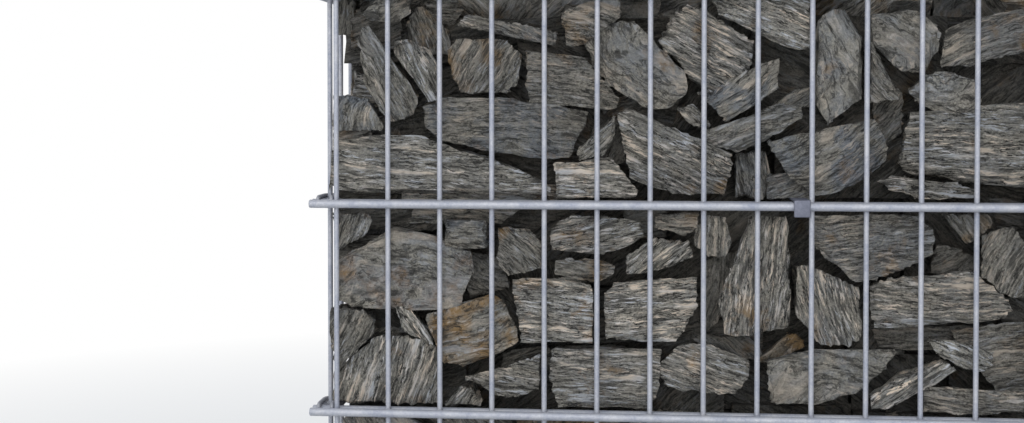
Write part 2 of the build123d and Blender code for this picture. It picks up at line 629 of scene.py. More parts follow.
# Brightness, rust, streaks and blue of each kind of rock, and how far its layers turn
# their flat sides to the viewer, in degrees
rock_kinds = {
    "striped": ((0.55, 0.25, 0.95, 0.25), 8),
    "pale": ((0.74, 0.22, 1.00, 0.20), 10),
    "grained": ((0.44, 0.22, 0.55, 0.35), 25),
    "brown": ((0.43, 0.42, 0.60, 0.15), 20),
    "grey": ((0.46, 0.18, 0.28, 0.40), 62),
    "blue": ((0.45, 0.20, 0.45, 0.70), 30),
    "rusty": ((0.46, 0.66, 0.40, 0.35), 50),
    "ochre": ((0.46, 0.86, 0.40, 0.40), 50),
    "banded": ((0.46, 0.48, 0.22, 0.75), 60),
    "dark": ((0.20, 0.30, 0.35, 0.20), 30),
    # Near-black painted shade for the stones deep inside, so the gaps between front stones read dark
    "painted_shade": ((0.04, 0.25, 0.25, 0.20), 30),
}

# Kind of rock, slope of the streaks and outline in the picture of each stone
seen_stones = [
    ("grained", -60,
     [(357, 25), (366, 24), (386, 55), (419, 99), (414, 116), (390, 123), (361, 88), (353, 38)]),
    ("striped", -62, [(392, 40), (406, 38), (429, 50), (438, 66), (437, 99), (428, 103), (393, 55)]),
    ("brown", 55,
     [(444, 50), (459, 38), (506, 38), (522, 56), (519, 83), (506, 94), (459, 94), (449, 75)]),
    ("grained", -18, [(455, 25), (464, 13), (516, 22), (557, 33), (555, 45), (496, 35)]),
    ("grey", 12, [(359, 13), (380, -6), (408, -6), (410, 13), (396, 23), (373, 22)]),
    ("brown", -8, [(523, 50), (585, 58), (620, 100), (616, 110), (528, 108)]),
    ("blue", -3,
     [(419, 106), (444, 96), (525, 100), (590, 112), (588, 130), (571, 161),
      (540, 162), (438, 144), (419, 129)]),
    ("blue", 80, [(331, 93), (366, 98), (383, 126), (381, 131), (331, 131)]),
    ("striped", -4,
     [(325, 136), (366, 131), (419, 136), (466, 154), (516, 167), (552, 187),
      (552, 197), (355, 196), (325, 186)]),
    ("grey", -36,
     [(579, 33), (601, 19), (633, 18), (656, 45), (686, 73), (689, 93),
      (666, 110), (646, 109), (613, 90), (588, 66)]),
    ("striped", -26,
     [(656, 41), (678, 7), (699, 5), (757, 40), (754, 73), (729, 101), (702, 90), (669, 50)]),
    ("pale", -22, [(709, -12), (812, -12), (812, 50), (782, 48), (754, 32), (719, 18)]),
    ("striped", -25, [(616, 113), (630, 109), (734, 154), (727, 197), (669, 196), (630, 179)]),
    ("grained", 18, [(706, 131), (736, 121), (780, 104), (805, 103), (805, 122), (739, 153), (707, 143)]),
    ("pale", -2, [(552, 164), (611, 156), (618, 164), (640, 191), (636, 199), (555, 199)]),
    ("striped", 36, [(576, 149), (615, 114), (613, 141), (603, 156), (578, 162)]),
    ("grained", -35, [(676, 108), (694, 103), (712, 124), (707, 129), (686, 124)]),
    ("blue", 36, [(707, 99), (765, 60), (782, 55), (779, 90), (724, 123), (696, 93)]),
    ("brown", -12,
     [(560, 12), (596, -5), (620, -5), (621, 17), (601, 18), (580, 31), (578, 48), (565, 45)]),
    ("grey", -62, [(817, 19), (839, 7), (847, 8), (864, 36), (865, 96), (828, 128), (817, 109)]),
    ("grained", -50, [(872, 42), (901, 95), (900, 100), (870, 104)]),
    ("grey", -34,
     [(872, 14), (920, 9), (940, 25), (943, 51), (929, 73), (911, 75), (889, 62), (873, 44)]),
    ("grained", 18, [(945, 31), (975, 17), (1032, 5), (1032, 51), (982, 65), (940, 68)]),
    ("grey", 4,
     [(909, 92), (926, 76), (945, 70), (982, 81), (985, 101), (975, 114), (943, 115), (920, 106)]),
    ("striped", -2,
     [(900, 168), (911, 112), (982, 112), (1036, 100), (1036, 190), (982, 187), (943, 176), (903, 173)]),
    ("blue", 27,
     [(765, 140), (811, 129), (880, 115), (895, 145), (890, 162), (870, 180),
      (834, 195), (814, 199), (780, 168)]),
    ("striped", -6, [(878, 182), (895, 173), (943, 181), (982, 191), (985, 201), (929, 201), (889, 190)]),
    ("banded", 2,
     [(331, 263), (370, 238), (393, 227), (433, 235), (471, 251), (474, 273),
      (461, 306), (449, 313), (370, 313), (331, 306)]),
    ("ochre", 9,
     [(424, 316), (491, 295), (502, 299), (516, 329), (519, 344), (506, 349),
      (496, 359), (459, 370), (444, 364)]),
    ("striped", 72, [(332, 406), (331, 374), (366, 343), (383, 334), (416, 336), (438, 349), (438, 407)]),
    ("pale", -55, [(393, 308), (408, 306), (433, 339), (431, 346), (403, 333)]),
    ("grained", 60, [(325, 309), (361, 311), (375, 324), (373, 334), (335, 372)]),
    ("blue", -5, [(443, 220), (487, 222), (487, 248), (469, 250), (443, 246)]),
    ("brown", -42, [(496, 227), (529, 228), (542, 243), (542, 270), (507, 278), (496, 266)]),
    ("pale", -4, [(509, 280), (573, 276), (590, 286), (595, 299), (593, 346), (520, 345)]),
    ("striped", -10, [(461, 379), (496, 369), (539, 356), (540, 392), (516, 399), (496, 396)]),
    ("grained", 70, [(331, 213), (366, 213), (373, 222), (363, 238), (335, 253)]),
    ("striped", 50, [(444, 406), (459, 386), (472, 391), (482, 406)]),
    ("striped", 12,
     [(548, 230), (567, 215), (595, 215), (643, 222), (646, 236), (628, 248), (600, 255), (550, 255)]),
    ("brown", -5, [(553, 261), (598, 258), (615, 266), (611, 278), (598, 283), (553, 275)]),
    ("striped", 40, [(625, 258), (656, 238), (689, 241), (694, 258), (669, 270), (625, 276)]),
    ("brown", -4, [(654, 213), (699, 213), (698, 228), (686, 236), (654, 228)]),
    ("grained", 84, [(693, 233), (706, 215), (727, 217), (734, 243), (726, 260), (707, 258), (694, 246)]),
    ("striped", 82, [(752, 215), (789, 215), (794, 283), (792, 331), (747, 339), (724, 338), (717, 306)]),
    ("pale", 3,
     [(602, 293), (616, 280), (699, 276), (698, 306), (684, 331), (676, 346), (633, 344), (605, 341)]),
    ("striped", -2, [(550, 349), (646, 348), (663, 349), (659, 399), (648, 412), (557, 411), (548, 376)]),
    ("striped", -18,
     [(656, 366), (681, 344), (706, 344), (752, 362), (751, 379), (736, 397), (706, 396), (666, 389)]),
    ("grained", 6,
     [(814, 216), (920, 214), (940, 231), (939, 254), (920, 267), (869, 284), (855, 286), (814, 247)]),
    ("striped", -72,
     [(796, 267), (811, 265), (842, 284), (862, 287), (861, 343), (847, 348), (820, 346), (797, 318)]),
    ("striped", -2,
     [(873, 287), (889, 278), (975, 270), (1013, 301), (1018, 312), (1010, 323),
      (936, 329), (876, 328), (870, 317)]),
    ("grey", 5, [(765, 362), (814, 349), (897, 349), (904, 354), (870, 391), (814, 408), (770, 407)]),
    ("brown", 62, [(981, 236), (1013, 226), (1034, 254), (1034, 301), (1010, 300), (982, 278)]),
    ("pale", -22, [(929, 342), (951, 340), (998, 353), (996, 368), (982, 373), (964, 371), (936, 354)]),
    ("pale", 34,
     [(870, 399), (889, 384), (945, 362), (960, 373), (948, 382), (917, 390), (889, 413), (872, 412)]),
    ("grained", -2, [(925, 387), (1034, 391), (1034, 416), (925, 416)]),
    ("dark", -52, [(943, 214), (989, 214), (995, 223), (979, 240), (967, 245)]),
]
set_back_stones = [
    ("brown", -68, [(403, 32), (419, 5), (436, 22), (449, 32), (452, 56), (420, 56)]),
    ("brown", -10, [(415, -8), (452, -8), (462, 12), (450, 26), (436, 20)]),
    ("grained", 40, [(752, 120), (790, 92), (818, 84), (818, 104), (770, 118)]),
    ("dark", 60, [(590, 130), (620, 112), (626, 160), (600, 172)]),
    ("grained", -80, [(735, 155), (765, 150), (775, 199), (738, 199)]),
    ("dark", 50, [(872, 100), (905, 90), (905, 130), (880, 150)]),
    ("dark", -30, [(460, 250), (500, 260), (510, 290), (470, 300)]),
    ("dark", 20, [(500, 355), (548, 346), (552, 372), (500, 375)]),
    ("dark", 80, [(700, 262), (745, 250), (735, 300), (700, 340)]),
    ("dark", -35, [(690, 335), (750, 335), (765, 362), (720, 362)]),
    ("rusty", 42, [(757, 362), (792, 334), (806, 345), (770, 366)]),
    ("dark", 0, [(870, 325), (1000, 325), (1010, 352), (880, 348)]),
    ("dark", 10, [(345, 204), (440, 206), (440, 232), (360, 232)]),
    ("brown", -5, [(395, 206), (520, 208), (500, 222), (440, 226), (398, 222)]),
    ("dark", 30, [(940, 245), (985, 262), (975, 275), (930, 276)]),
    ("brown", 10, [(950, 330), (1036, 320), (1036, 400), (1000, 395)]),
    ("dark", 20, [(348, 8), (402, 10), (400, 52), (350, 50)]),
    ("dark", 10, [(325, 190), (385, 190), (385, 224), (325, 224)]),
    ("dark", 10, [(622, 203), (668, 203), (668, 238), (622, 238)]),
    ("grained", 20, [(766, 176), (790, 172), (815, 192), (815, 200), (766, 200)]),
    ("brown", 80, [(325, -10), (352, -10), (354, 20), (350, 36), (325, 36)]),
    ("dark", 10, [(325, 118), (372, 118), (372, 146), (325, 146)]),
    ("striped", -3, [(400, 182), (560, 184), (560, 210), (400, 210)]),
    ("dark", 0, [(325, 238), (380, 234), (380, 262), (325, 262)]),
    ("dark", 20, [(596, 84), (650, 92), (648, 122), (602, 116)]),
]
print(len(seen_stones) + len(set_back_stones), "stones laid by hand")

# %% [markdown]
# The picture shows only part of the wall, so the other stones are laid by chance. They
# need outlines too. A few helpers treat an outline as a row of corners on a flat face:
# they measure it, cut it along a line, draw it round loose points and crop its corners.

# %% Outlines on a face
crop_depth = 0.014
least_to_middle = 3 * crop_depth
crop_shares = (0.4, 1.0)
crop_slant = 25


def area_and_middle(outline):
    """Area and centre of an anticlockwise outline."""
    doubled = 0
    middle = Vector((0, 0))
    for (x0, y0), (x1, y1) in zip(outline, outline[1:] + outline[:1]):
        cross = x0 * y1 - x1 * y0
        doubled += cross
        middle += Vector((x0 + x1, y0 + y1)) * cross
    return doubled / 2, middle / (3 * doubled)


def cut_outline(outline, point, direction):
    """The part of an outline to the left of a line."""
    kept = []
    side = Vector((-direction.y, direction.x))
    for start, stop in zip(outline, outline[1:] + outline[:1]):
        from_line = (Vector(start) - point).dot(side)
        to_line = (Vector(stop) - point).dot(side)
        if from_line >= 0:
            kept.append(start)
        if from_line * to_line < 0:
            share = from_line / (from_line - to_line)
            kept.append(tuple(Vector(start).lerp(Vector(stop), share)))
    return kept


def long_direction(outline):
    """Direction between the two corners that lie furthest apart."""
    pairs = [Vector(second) - Vector(first) for first in outline for second in outline]
    return max(pairs, key=lambda pair: pair.length)


def turns_left(first, second, third):
    """Whether three points in a row turn to the left."""
    return (Vector(second) - Vector(first)).cross(Vector(third) - Vector(second)) > 0


def anticlockwise(outline):
    """The convex outline round some points, in anticlockwise order."""
    points = sorted(set(outline))
    rows = []
    for ordered in (points, points[::-1]):
        row = []
        for point in ordered:
            while len(row) > 1 and not turns_left(row[-2], row[-1], point):
                row.pop()
            row.append(point)
        rows += row[:-1]
    return rows


def crop_corners(outline, odds):
    """Cut some corners off an outline."""
    for corner in list(outline):
        middle = area_and_middle(outline)[1]
        inward = middle - Vector(corner)
        if chance.random() < odds and inward.length > least_to_middle:
            slant = math.radians(chance.uniform(-crop_slant, crop_slant))
            turn = math.atan2(inward.y, inward.x) - math.pi / 2 + slant
            place = Vector(corner) + inward.normalized() * chance.uniform(*crop_shares) * crop_depth
            outline = cut_outline(outline, place, Vector((math.cos(turn), math.sin(turn))))
    return outline


print("a square outline has the area", area_and_middle(square)[0])

# %% [markdown]
# A face is shared out like a cracked plate: it is cut in two again and again, until the
# parts are as large as stones. A tall part is cut level and a long part upright, each a
# little askew, as stones come to rest on their flat sides.

# %% Sharing out a face
tall_shapes = (0.42, 0.72)
cut_askew = 15
cut_off_centre = 0.1


def rectangle(left, low, right, high):
    """An upright rectangle on a face, anticlockwise."""
    return [(left, low), (right, low), (right, high), (left, high)]


def share_out(region, small, large):
    """Cut a region by chance into outlines between a small and a large area."""
    waiting = [region]
    shared = []
    while waiting:
        outline = waiting.pop()
        area, middle = area_and_middle(outline)
        if area < chance.uniform(small, large):
            shared.append(outline)
            continue
        width, height = [max(side) - min(side) for side in zip(*outline)]
        tall = height > chance.uniform(*tall_shapes) * width
        turn = math.radians(chance.gauss(0 if tall else 90, cut_askew))
        point = middle + Vector((width, height)) * chance.uniform(-cut_off_centre, cut_off_centre)
        direction = Vector((math.cos(turn), math.sin(turn)))
        waiting.append(cut_outline(outline, point, direction))
        waiting.append(cut_outline(outline, point, -direction))
    return shared


one_bay = rectangle(0, 0, bay_length, mat_height)
print("one bay's face to share out:", round(area_and_middle(one_bay)[0], 3), "square metres")

# %% [markdown]
# A finished stone is turned from its own flat frame onto a face of the wall. It is then
# held inside the cage: no part of it passes the wires, the top wire tips or the inner
# rods of the end mats. Stones are gathered by bay and by lift, the layer between two rod
# levels, and wait outside the scene, because a crowded scene slows every operator.

# %% Laying stones
stone_end = -end_plane - rod_offset - rod_thickness / 2
stone_bulge = -end_plane - wire_thickness / 2
stone_below_tips = 0.004
stone_top = mat_height - stone_below_tips
tone_chance = 0.08

# Each face turns U along it, V up it and W out of it into X, Y and Z.
front_face = Matrix(((1, 0, 0, 0), (0, 0, -1, stone_front), (0, 1, 0, 0), (0, 0, 0, 1)))
rear_face = Matrix(((-1, 0, 0, 0), (0, 0, 1, -stone_front), (0, 1, 0, 0), (0, 0, 0, 1)))
left_face = Matrix(((0, 0, -1, -stone_bulge), (-1, 0, 0, 0), (0, 1, 0, 0), (0, 0, 0, 1)))
right_face = Matrix(((0, 0, 1, stone_bulge), (1, 0, 0, 0), (0, 1, 0, 0), (0, 0, 0, 1)))
lift_stones = {(bay, lift): [] for bay in range(1, bays + 1) for lift in range(1, lifts + 1)}


def varied(tone):
    """A tone with a little chance in each part."""
    return tuple(min(1, max(0, part + chance.uniform(-tone_chance, tone_chance))) for part in tone)


def level_with_rod(height):
    """Whether a height lies level with one of the rods."""
    return any(abs(height - rod) < rod_thickness / 2 for rod in rod_heights)


def hold_inside(stone):
    """Keep every corner of a stone inside the cage, and clear of the end mats' inner rods."""
    low = (-stone_bulge, stone_front, 0.0)
    high = (stone_bulge, -stone_front, stone_top)
    for vertex in stone.data.vertices:
        place = [min(top, max(bottom, value)) for bottom, value, top in zip(low, vertex.co, high)]
        if abs(place[0]) > stone_end and level_with_rod(place[2]):
            place[0] = math.copysign(stone_end, place[0])
        vertex.co = place


def lay(outline, kind, grain, face, sink, thickness, fineness):
    """Split a stone, put it on a face of the wall and file it under its lift."""
    tone, dip = rock_kinds[kind]
    stone = split_stone(anticlockwise(outline), thickness, grain, dip, varied(tone), fineness)
    stone.data.transform(face @ Matrix.Translation((0, 0, -sink)))
    hold_inside(stone)
    spans = [[vertex.co[axis] for vertex in stone.data.vertices] for axis in (0, 2)]
    middle_x, middle_z = [(min(span) + max(span)) / 2 for span in spans]
    bay = min(bays, 1 + int((middle_x - mat_low.x) / bay_length))
    lift = min(lifts, 1 + int(middle_z / rod_pitch))
    lift_stones[bay, lift].append(stone)
    for collection in stone.users_collection:
        collection.objects.unlink(stone)


print("stones end at", round(stone_end, 4), "m and bulge to", round(stone_bulge, 4), "m")

# %% [markdown]
# The seen stones lie against the wires. Others lie 2 or 3 cm behind them, where the
# photograph looks into a gap and finds another stone. The fineness says how deep the
# remesh goes, how many triangles a stone may have, and how far it passes its outline,
# which makes up for what the roughening takes away.

# %% Lay the seen stones
seen_sinks = (0.0005, 0.004)
seen_thicknesses = (0.06, 0.09)
seen_fineness = {"depth": 6, "target": 2600, "margin": 0.0015}
set_back_sinks = (0.018, 0.03)
set_back_thickness = 0.05
set_back_fineness = {"depth": 5, "target": 1200, "margin": 0.003}

for kind, grain, picture in seen_stones:
    sink = chance.uniform(*seen_sinks)
    outline = [on_face(point, sink) for point in picture]
    lay(outline, kind, grain, front_face, sink, chance.uniform(*seen_thicknesses), seen_fineness)
for kind, grain, picture in set_back_stones:
    sink = chance.uniform(*set_back_sinks)
    outline = [on_face(point, sink) for point in picture]
    lay(outline, kind, grain, front_face, sink, set_back_thickness, set_back_fineness)
laid = [stone for pile in lift_stones.values() for stone in pile]
print(len(laid), "stones laid by hand,", sum(triangles(stone) for stone in laid), "triangles")

# %% [markdown]
# The other stones come in four layers: the outer one against the mesh, one deep inside that
# is painted near-black as shade, small ones across the top of the wall, and the smallest
# above the seen stones.
# Each layer has its range of areas in square metres, its ranges of sink and thickness in
# metres, its kinds of rock and the odds that a corner is cropped. What lies behind has
# fewer triangles.

# %% Layers of stones
common_kinds = ["striped", "striped", "pale", "grained", "grained", "brown", "grey", "grey", "blue",
                "rusty", "dark"]
crown_kinds = ["dark", "grained", "brown", "grey"]
outer_layer = {"areas": (0.0026, 0.012), "sinks": (0.001, 0.006), "thicknesses": (0.06, 0.10),
               "kinds": common_kinds, "crop_odds": 0.5}
# The deep stones are painted near-black as shade, which darkens the gaps in front of them
deep_layer = {"areas": (0.006, 0.018), "sinks": (0.034, 0.05), "thicknesses": (0.14, 0.16),
              "kinds": ["painted_shade"], "crop_odds": 0}
crown_layer = {"areas": (0.0014, 0.0034), "sinks": (0.045, 0.06), "thicknesses": (0.11, 0.13),
               "kinds": crown_kinds, "crop_odds": 0.2}
capping_layer = {"areas": (0.0009, 0.002), "sinks": (0.001, 0.004), "thicknesses": (0.05, 0.08),
                 "kinds": common_kinds, "crop_odds": 0.2}
front_fineness = {"depth": 5, "target": 900, "margin": 0.0005}
rear_fineness = {"depth": 4, "target": 700, "margin": 0.0005}
deep_fineness = {"depth": 4, "target": 420, "margin": 0.016}
crown_fineness = {"depth": 4, "target": 600, "margin": 0.007}
capping_fineness = {"depth": 4, "target": 500, "margin": 0.001}
print(len(set(common_kinds)), "kinds of rock in the outer layer")

# %% [markdown]
# The rest of the front, the whole rear, both ends, the dark inside and the top are filled
# by chance. A stone that crosses a rod lies behind it. The seen stones end where sight
# lines just past the right and the upper edge of the picture meet the mesh. One seed
# draws every number, so each run lays the same wall.

# %% Fill the faces
smallest_share = 0.2
grain_chance = 12
past_picture_right = (1034, 200)
past_picture_top = (500, -2)
split_level = rod_heights[2]
crown_depth = 0.03
crown_overlap = 0.014
end_reach = 0.08


def fill_face(region, face, layer, fineness):
    """Share out a region of a face and lay a stone in each part."""
    outlines = share_out(region, *layer["areas"])
    for outline in outlines:
        outline = crop_corners(outline, layer["crop_odds"])
        if area_and_middle(outline)[0] < smallest_share * layer["areas"][0]:
            continue
        heights = [point[1] for point in outline]
        crosses = any(min(heights) < rod < max(heights) for rod in rod_heights)
        sink = chance.uniform(*layer["sinks"]) + (rod_thickness if crosses else 0)
        length = long_direction(outline)
        slope = math.degrees(math.atan2(length.y, length.x))
        grain = slope + chance.uniform(-grain_chance, grain_chance)
        thickness = chance.uniform(*layer["thicknesses"])
        lay(outline, chance.choice(layer["kinds"]), grain, face, sink, thickness, fineness)
    return len(outlines)


seen_right = on_face(past_picture_right, 0)[0]
seen_top = on_face(past_picture_top, 0)[1]
crown_level = stone_top - crown_depth
below_seen = rectangle(-stone_end, 0, stone_end, split_level)
beside_seen = rectangle(seen_right, split_level, stone_end, stone_top)
whole_side = rectangle(-stone_end, 0, stone_end, stone_top)
core = rectangle(-stone_end, 0, stone_end, crown_level)
crown = rectangle(-stone_end, crown_level - crown_overlap, stone_end, stone_top)
capping = rectangle(-stone_end, seen_top, seen_right, stone_top)
between_sides = rectangle(-end_reach, 0, end_reach, stone_top)
for part, region, face, layer, fineness in (
    ("front, below the seen stones", below_seen, front_face, outer_layer, front_fineness),
    ("front, beside the seen stones", beside_seen, front_face, outer_layer, front_fineness),
    ("rear", whole_side, rear_face, outer_layer, rear_fineness),
    ("core", core, front_face, deep_layer, deep_fineness),
    ("crown", crown, front_face, crown_layer, crown_fineness),
    ("top, above the seen stones", capping, front_face, capping_layer, capping_fineness),
    ("left end", between_sides, left_face, outer_layer, rear_fineness),
    ("right end", between_sides, right_face, outer_layer, rear_fineness),
):
    print(part, "shared out in", fill_face(region, face, layer, fineness))

# %% [markdown]
# Many small pieces are kept as a few joined meshes. The stones of one lift become one
# mesh, each stone still closed in itself, and that mesh stands for the plain block that
# the CAD model has there. Edges sharper than 38 degrees stay sharp, as broken rock does.

# %% Join the stones by lift
broken_edge = math.radians(38)
stone_pieces = []
for (bay, lift), pile in lift_stones.items():
    for stone in pile:
        scene_objects.link(stone)
    stones = join(pile, f"stones_bay_{bay}_level_{lift}")
    take(stones)
    bpy.ops.object.shade_smooth_by_angle(angle=broken_edge)
    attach(stones, "root")
    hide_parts(f"stone_lift_bay_{bay}_level_{lift}")
    stone_pieces.append(stones)
    print(stones.name, len(pile), "stones", triangles(stones), "triangles")
for pattern_frame in (grain_frame, lump_frame):
    bpy.data.objects.remove(pattern_frame)

# %% [markdown]
# Materials are made from a few node steps. Colours are written as seen on a screen and
# turned into linear values by one function, and one more function adds a node with its
# settings and its links.

# %% Nodes and colours
first_colour, second_colour, mixed_colour = 6, 7, 2


def colour(code):
    """A screen colour such as b4b4bc as linear red, green, blue and alpha."""
    parts = [int(code[place:place + 2], 16) / 255 for place in (0, 2, 4)]
    linear = [part / 12.92 if part <= 0.04045 else ((part + 0.055) / 1.055) ** 2.4 for part in parts]
    return linear + [1.0]


def add(tree, kind, inputs=None, **settings):
    """Add a shader node, set it, and give its sockets values or links."""
    made = tree.nodes.new("ShaderNode" + kind)
    for name, value in settings.items():
        setattr(made, name, value)
    for socket, value in (inputs or {}).items():
        if isinstance(value, bpy.types.NodeSocket):
            tree.links.new(value, made.inputs[socket])
        else:
            made.inputs[socket].default_value = value
    return made.outputs


def new_material(name):
    """An empty material and its node tree, ready for nodes."""
    made = bpy.data.materials.new(name)
    made.use_nodes = True
    made.node_tree.nodes.clear()
    return made, made.node_tree


print("mid grey 808080 is", round(colour("808080")[0], 3), "in linear light")

# %% [markdown]
# Hot-dip galvanised steel is a thin skin of zinc. It is light grey with faint patches
# where the zinc froze in crystals, and it dulls with age to a fine bloom. The patches
# are about 22 mm wide and the bloom is 2.4 mm, so both are noises on the real size of
# the piece. New zinc is all metal with a roughness of about 0.3. This zinc is weathered,
# so it is less than half a metal to the eye and rougher. The flat strip is darker, and
# the clip wire lies between the two.

# %% Galvanised steel
patch_size = 0.022
bloom_size = 0.0024
weathered_metal = 0.4


def galvanised(name, light, dull, roughness):
    """Zinc-coated steel between a light and a dull grey."""
    made, tree = new_material(name)
    place = add(tree, "TexCoord")["Object"]
    patch = add(tree, "TexNoise", {"Vector": place, "Scale": 1 / patch_size, "Detail": 3,
                                   "Roughness": 0.55})["Fac"]
    bloom = add(tree, "TexNoise", {"Vector": place, "Scale": 1 / bloom_size, "Detail": 4,
                                   "Roughness": 0.7})["Fac"]
    # Each noise lies about 0.5, so their sum lies mostly between 0.7 and 1.3.
    both = add(tree, "Math", {0: patch, 1: bloom}, operation="ADD")[0]
    share = add(tree, "MapRange", {"Value": both, "From Min": 0.72, "From Max": 1.28})["Result"]
    skin = add(tree, "Mix", {0: share, first_colour: colour(dull), second_colour: colour(light)},
               data_type="RGBA")[mixed_colour]
    rough = add(tree, "MapRange", {"Value": both, "From Min": 0.7, "From Max": 1.3,
                                   "To Min": roughness + 0.1, "To Max": roughness - 0.06})["Result"]
    bump = add(tree, "Bump", {"Height": bloom, "Strength": 0.25, "Distance": 0.0004})["Normal"]
    steel = add(tree, "BsdfPrincipled", {"Base Color": skin, "Metallic": weathered_metal,
                                         "Roughness": rough, "Normal": bump})["BSDF"]
    add(tree, "OutputMaterial", {"Surface": steel})
    return made


mesh_steel = galvanised("galvanised_mesh_wire", "b2b3b8", "9095a3", 0.58)
strip_steel = galvanised("galvanised_flat_strip", "737684", "5e616e", 0.52)
hairpin_steel = galvanised("galvanised_hairpin_wire", "a2a3a9", "84868d", 0.52)
print("steels:", mesh_steel.name, strip_steel.name, hairpin_steel.name)

# %% [markdown]
# Schist is made of thin layers of pale quartz and dark mica that were folded together.
# Each stone carries its own place along, across and through its layers, so the streaks
# run with its grain whatever way it lies. A picture of rock could be laid on, but it
# would repeat and would not turn with the layers. Two noises push that place about, a
# wide and a narrow one, and every pattern that reads the pushed place waves like folded
# layers.

# %% Folds of the schist
schist, tree = new_material("split_schist")
place = add(tree, "Attribute", attribute_name="grain_place")["Vector"]
tone = add(tree, "Attribute", attribute_name="stone_tone")
brightness, rust, stripes = add(tree, "SeparateColor", {0: tone["Color"]})
blueness = tone["Alpha"]

# Width of each fold, and how far it pushes along, across and through the layers, in mm
folds = []
bent = place
for width, pushes in ((83, (14, 14, 8)), (14, (6, 6, 3.4))):
    wave = add(tree, "TexNoise", {"Vector": bent, "Scale": 1000 / width, "Detail": 3,
                                  "Roughness": 0.6})
    centred = add(tree, "VectorMath", {0: wave["Color"], 1: (-0.5, -0.5, -0.5)}, operation="ADD")[0]
    reach = [push / 1000 for push in pushes]
    push = add(tree, "VectorMath", {0: centred, 1: reach}, operation="MULTIPLY")[0]
    bent = add(tree, "VectorMath", {0: bent, 1: push}, operation="ADD")[0]
    folds.append(bent)
wide_folds, all_folds = folds
print(len(folds), "folds")

# %% [markdown]
# All patterns are one noise, stretched along the layers by its own amount. The streaks
# are the finest layers that the photograph resolves, 18 mm long and 2.4 mm thick. Real
# layers go down to tenths of a millimetre, which the picture could not show. The tone of
# the stone then says how much of each pattern shows.

# %% Patterns of the schist
# Which place a pattern reads, its size along, across and through the layers in mm, and
# the detail and roughness of its noise
patterns = {
    "streaks": (all_folds, (18, 18, 2.4), 6, 0.68),
    "layers": (all_folds, (62, 62, 7.4), 5, 0.62),
    "bands": (wide_folds, (140, 140, 24), 4, 0.6),
    "speckle": (place, (2.1, 2.1, 2.1), 5, 0.75),
    "patches": (wide_folds, (42, 42, 42), 5, 0.65),
    "tints": (wide_folds, (90, 90, 17), 3, 0.55),
}
pattern = {}
for name, (where, sizes, detail, roughness) in patterns.items():
    changes = [1000 / size for size in sizes]
    spread = add(tree, "VectorMath", {0: where, 1: changes}, operation="MULTIPLY")[0]
    pattern[name] = add(tree, "TexNoise", {"Vector": spread, "Scale": 1, "Detail": detail,
                                           "Roughness": roughness})["Fac"]

# A value, the factor that it is multiplied by and what is added then
shares = {}
for name, value, factor, raised in (
    ("rusting", rust, 0.28, pattern["patches"]),
    ("streaking", stripes, 0.85, 0.1),
    ("veining", stripes, 0.8, 0.0),
    # How strongly the near-black painted shade covers the crevices
    ("crevice_shading", stripes, 0.6, 0.35),
):
    shares[name] = add(tree, "Math", {0: value, 1: factor, 2: raised}, operation="MULTIPLY_ADD")[0]
off_middle = add(tree, "Math", {0: pattern["layers"], 1: 0.5}, operation="SUBTRACT")[0]
from_seam = add(tree, "Math", {0: off_middle}, operation="ABSOLUTE")[0]
print(len(patterns), "patterns and", len(shares), "shares")

# %% [markdown]
# The colours go on in coats over the dark mica: grey speckle and bands, blue-grey and
# rusty patches, dark streaks, pale quartz streaks and veins, and last a painted shade,
# near-black, in the open crevices between layers. The quartz and the mica are warm in some
# bands and cool in others. The same patterns then lift the surface, and the crevices sink
# it. Split rock is matt and dry, so its roughness is close to 0.8 and its shine is weaker
# than the usual 0.5.

# %% Colours and surface of the schist
warm_and_cool = {"quartz": ("c4b6a6", "a8abb0"), "mica": ("514c45", "494b4c")}
tint = add(tree, "MapRange", {"Value": pattern["tints"], "From Min": 0.44,
                              "From Max": 0.57})["Result"]
quartz, rock = [
    add(tree, "Mix", {0: tint, first_colour: colour(warm), second_colour: colour(cool)},
        data_type="RGBA")[mixed_colour]
    for warm, cool in warm_and_cool.values()
]

# Each coat lies where its pattern passes from the first limit to the second
for value, low, high, strength, coat in (
    (pattern["speckle"], 0.34, 0.64, 1.0, colour("979389")),
    (pattern["bands"], 0.40, 0.60, 0.5, colour("7c7972")),
    (pattern["patches"], 0.46, 0.62, blueness, colour("5a6675")),
    (shares["rusting"], 0.64, 0.80, 0.8, colour("86683a")),
    (pattern["streaks"], 0.46, 0.38, 0.8, colour("2b2a28")),
    (pattern["layers"], 0.43, 0.36, 0.75, colour("2d2c2a")),
    (pattern["streaks"], 0.55, 0.61, shares["streaking"], quartz),
    (pattern["layers"], 0.58, 0.63, shares["veining"], quartz),
    # Last coat: painted shade, near-black where the layers open into crevices
    (from_seam, 0.014, 0.005, shares["crevice_shading"], colour("171615")),
):
    cover = add(tree, "MapRange", {"Value": value, "From Min": low, "From Max": high})["Result"]
    share = add(tree, "Math", {0: cover, 1: strength}, operation="MULTIPLY")[0]
    rock = add(tree, "Mix", {0: share, first_colour: rock, second_colour: coat},
               data_type="RGBA")[mixed_colour]
# The mask of the painted crevice shade, which also sinks the surface in the bump
shaded_crevice = share
level = add(tree, "MapRange", {"Value": brightness, "To Min": 0.42, "To Max": 2.0})["Result"]
rock = add(tree, "VectorMath", {0: rock, "Scale": level}, operation="SCALE")[0]

